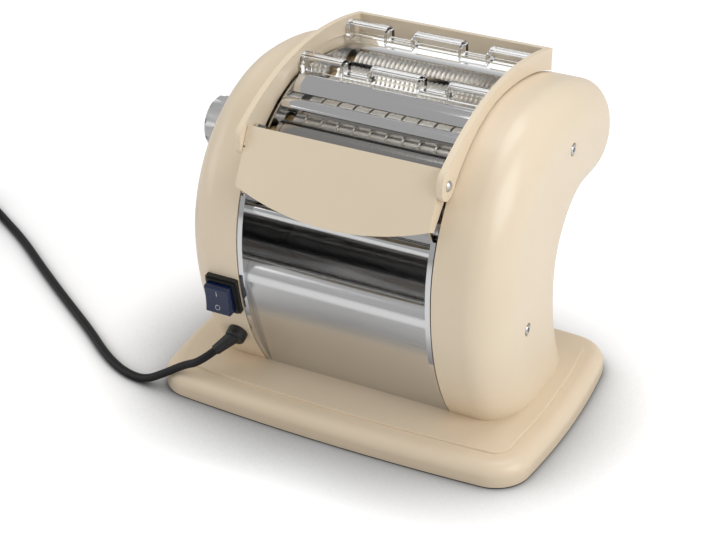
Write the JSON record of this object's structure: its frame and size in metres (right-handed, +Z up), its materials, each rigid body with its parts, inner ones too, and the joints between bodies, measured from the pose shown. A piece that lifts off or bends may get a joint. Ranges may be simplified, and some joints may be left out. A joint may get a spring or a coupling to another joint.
{
  "type": "electric pasta maker",
  "caption": "Electric pasta maker: curved metal body with smooth rolls and two pairs of cutters under a hinged guard, thickness knob, rocker switch and mains cord.",
  "frame": {"origin": "middle of the four feet and of the base's outline, on the surface that the machine stands on", "axes": "+X to the right seen from the front, +Y to the back, +Z up"},
  "size_m": [0.7053, 0.2625, 0.2687],
  "materials": {
    "cream": "satin",
    "cream_base": "satin",
    "chrome": "polished",
    "roll_steel": "brushed",
    "cutter_steel": "satin",
    "clear": "clear",
    "black": "matte",
    "cord_black": "satin",
    "switch_blue": "gloss",
    "knob_grey": "satin",
    "rubber": "matte",
    "zinc": "plated",
    "gear_steel": "machined",
    "bronze": "sintered",
    "motor_steel": "painted",
    "pin_brass": "plated"
  },
  "bodies": {
    "machine": {"base_plate": "cream_base", "base_floor": "black", "rubber_feet": "rubber", "side_plate_left": "chrome", "side_plate_right": "chrome", "front_tie_rod": "chrome", "tie_rods": "zinc", "front_chute": "chrome", "rear_chute": "chrome", "rear_panel": "chrome", "rear_hood": "chrome", "guide_front": "chrome", "guide_middle": "chrome", "guide_rear": "chrome", "infeed_guide": "chrome", "left_cover": "cream", "right_cover": "cream", "cover_posts": "zinc", "gear_plate": "zinc", "cover_screws": "zinc", "front_panel": "cream", "hinge_rivets": "zinc", "roll_bushes": "bronze", "gear_axles": "gear_steel", "motor_body": "motor_steel", "motor_bracket": "zinc", "knob_collar": "black", "switch_housing": "black", "cable_gland": "black", "mains_cord": "cord_black", "cord_coil": "cord_black", "mains_plug": "black"},
    "guard": {"guard_frame": "cream", "clear_guard_front": "clear", "clear_guard_rear": "clear"},
    "switch": {"switch_rocker": "switch_blue"},
    "smooth_rear": {"smooth_roll_rear": "roll_steel", "smooth_gear_rear": "gear_steel"},
    "smooth_front": {"smooth_roll_front": "roll_steel", "smooth_gear_front": "gear_steel"},
    "carriage": {"roll_carriers": "zinc", "carrier_bar": "zinc"},
    "wide_front": {"wide_cutter_front": "cutter_steel", "wide_gear_front": "gear_steel"},
    "wide_rear": {"wide_cutter_rear": "cutter_steel", "wide_gear_rear": "gear_steel"},
    "narrow_front": {"narrow_cutter_front": "cutter_steel", "narrow_gear_front": "gear_steel"},
    "narrow_rear": {"narrow_cutter_rear": "cutter_steel", "narrow_gear_rear": "gear_steel"},
    "main_gear_wheel": {"main_gear": "gear_steel"},
    "idler_gear_wheel": {"idler_gear": "gear_steel"},
    "second_gear_wheel": {"second_gear": "gear_steel"},
    "first_gear_wheel": {"first_gear": "gear_steel"},
    "rotor": {"motor_shaft": "gear_steel", "motor_pinion": "gear_steel"},
    "regulator": {"thickness_knob": "knob_grey", "regulator_shaft": "gear_steel", "regulator_cam": "gear_steel"}
  },
  "joints": [
    {"name": "guard_hinge", "type": "hinge", "parent": "machine", "child": "guard", "pos_m": [0, -0.0735, 0.2255], "axis": [1, 0, 0], "range_deg": [0, 100]},
    {"name": "switch_tilt", "type": "hinge", "parent": "machine", "child": "switch", "pos_m": [-0.095, -0.09124, 0.09796], "axis": [1, 0, 0], "range_deg": [0, 14]},
    {"name": "knob_turn", "type": "hinge", "parent": "machine", "child": "regulator", "pos_m": [-0.14, 0.004, 0.192], "axis": [1, 0, 0], "range_deg": [0, 300]},
    {"name": "carriage_slide", "type": "slide", "parent": "machine", "child": "carriage", "axis": [0, -0.7193, -0.6947], "range_m": [0, 0.0024]},
    {"name": "rear_smooth_spin", "type": "hinge", "parent": "machine", "child": "smooth_rear", "pos_m": [0, -0.0375, 0.214], "axis": [1, 0, 0], "continuous": true},
    {"name": "front_smooth_spin", "type": "hinge", "parent": "carriage", "child": "smooth_front", "pos_m": [0, -0.05692, 0.19524], "axis": [1, 0, 0], "continuous": true},
    {"name": "main_gear_spin", "type": "hinge", "parent": "machine", "child": "main_gear_wheel", "pos_m": [0, -0.01284, 0.18251], "axis": [1, 0, 0], "continuous": true},
    {"name": "wide_rear_spin", "type": "hinge", "parent": "machine", "child": "wide_rear", "pos_m": [0, 0.01245, 0.2135], "axis": [1, 0, 0], "continuous": true},
    {"name": "wide_front_spin", "type": "hinge", "parent": "machine", "child": "wide_front", "pos_m": [0, -0.0115, 0.212], "axis": [1, 0, 0], "continuous": true},
    {"name": "idler_gear_spin", "type": "hinge", "parent": "machine", "child": "idler_gear_wheel", "pos_m": [0, 0.04097, 0.18703], "axis": [1, 0, 0], "continuous": true},
    {"name": "narrow_front_spin", "type": "hinge", "parent": "machine", "child": "narrow_front", "pos_m": [0, 0.0396, 0.221], "axis": [1, 0, 0], "continuous": true},
    {"name": "narrow_rear_spin", "type": "hinge", "parent": "machine", "child": "narrow_rear", "pos_m": [0, 0.0636, 0.221], "axis": [1, 0, 0], "continuous": true},
    {"name": "second_gear_spin", "type": "hinge", "parent": "machine", "child": "second_gear_wheel", "pos_m": [0, -0.02925, 0.14603], "axis": [1, 0, 0], "continuous": true},
    {"name": "first_gear_spin", "type": "hinge", "parent": "machine", "child": "first_gear_wheel", "pos_m": [0, -0.038, 0.107], "axis": [1, 0, 0], "continuous": true},
    {"name": "rotor_spin", "type": "hinge", "parent": "machine", "child": "rotor", "pos_m": [0, -0.034, 0.0642], "axis": [1, 0, 0], "continuous": true}
  ],
  "couplings": [
    {"joint": "front_smooth_spin", "follows": "rear_smooth_spin", "ratio": -1},
    {"joint": "main_gear_spin", "follows": "rear_smooth_spin", "ratio": -0.33333},
    {"joint": "wide_rear_spin", "follows": "rear_smooth_spin", "ratio": 1},
    {"joint": "wide_front_spin", "follows": "rear_smooth_spin", "ratio": -1},
    {"joint": "idler_gear_spin", "follows": "rear_smooth_spin", "ratio": 0.41667},
    {"joint": "narrow_front_spin", "follows": "rear_smooth_spin", "ratio": -1},
    {"joint": "narrow_rear_spin", "follows": "rear_smooth_spin", "ratio": 1},
    {"joint": "second_gear_spin", "follows": "rear_smooth_spin", "ratio": 1},
    {"joint": "first_gear_spin", "follows": "rear_smooth_spin", "ratio": -3},
    {"joint": "rotor_spin", "follows": "rear_smooth_spin", "ratio": 13.125},
    {"joint": "knob_turn", "follows": "carriage_slide", "rad_per_m": 2181.7}
  ]
}
